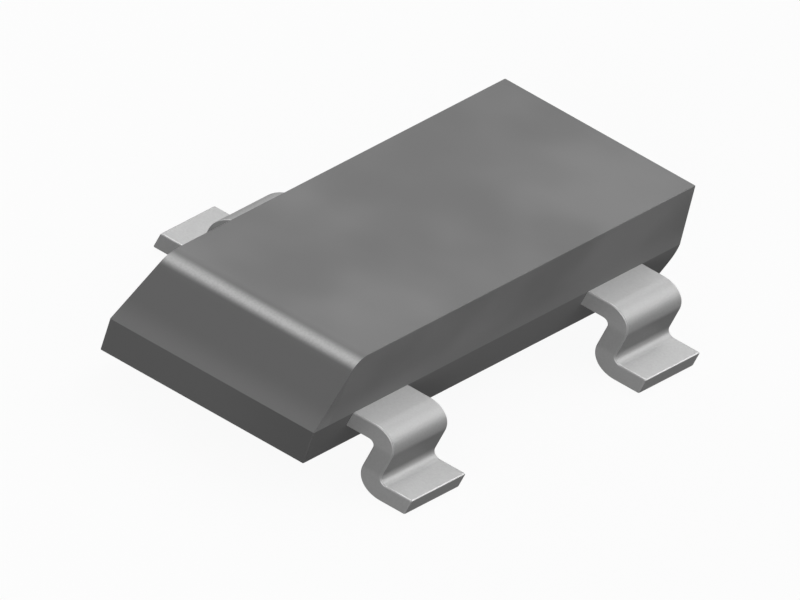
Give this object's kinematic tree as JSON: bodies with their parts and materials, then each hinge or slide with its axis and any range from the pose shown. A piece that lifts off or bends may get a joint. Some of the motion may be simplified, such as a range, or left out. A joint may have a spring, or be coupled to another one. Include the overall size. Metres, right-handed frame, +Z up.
{
  "type": "voltage supervisor ic",
  "caption": "Small moulded chip package with sloping ends and flat-footed gull-wing leads, which watches a supply voltage and resets a circuit.",
  "frame": {"origin": "centre of the package in the plane of the feet's undersides", "axes": "+X along the body, away from the end with the rounded upper edge; -Y towards the side with two leads; +Z up"},
  "size_m": [0.003, 0.0022, 0.001],
  "materials": {
    "mould_compound": "fine satin, as moulded",
    "tinned_lead": "matt tin plate",
    "silicon": "polished",
    "filled_epoxy": "matt, silver filled",
    "gold_wire": "bright drawn wire"
  },
  "bodies": {
    "root": {"mould_body": "mould_compound", "lead_front_left": "tinned_lead", "lead_front_right": "tinned_lead", "lead_back_paddle": "tinned_lead", "die": "silicon", "die_attach": "filled_epoxy", "bond_wire_left": "gold_wire", "bond_wire_right": "gold_wire", "bond_wire_back": "gold_wire"}
  },
  "joints": []
}
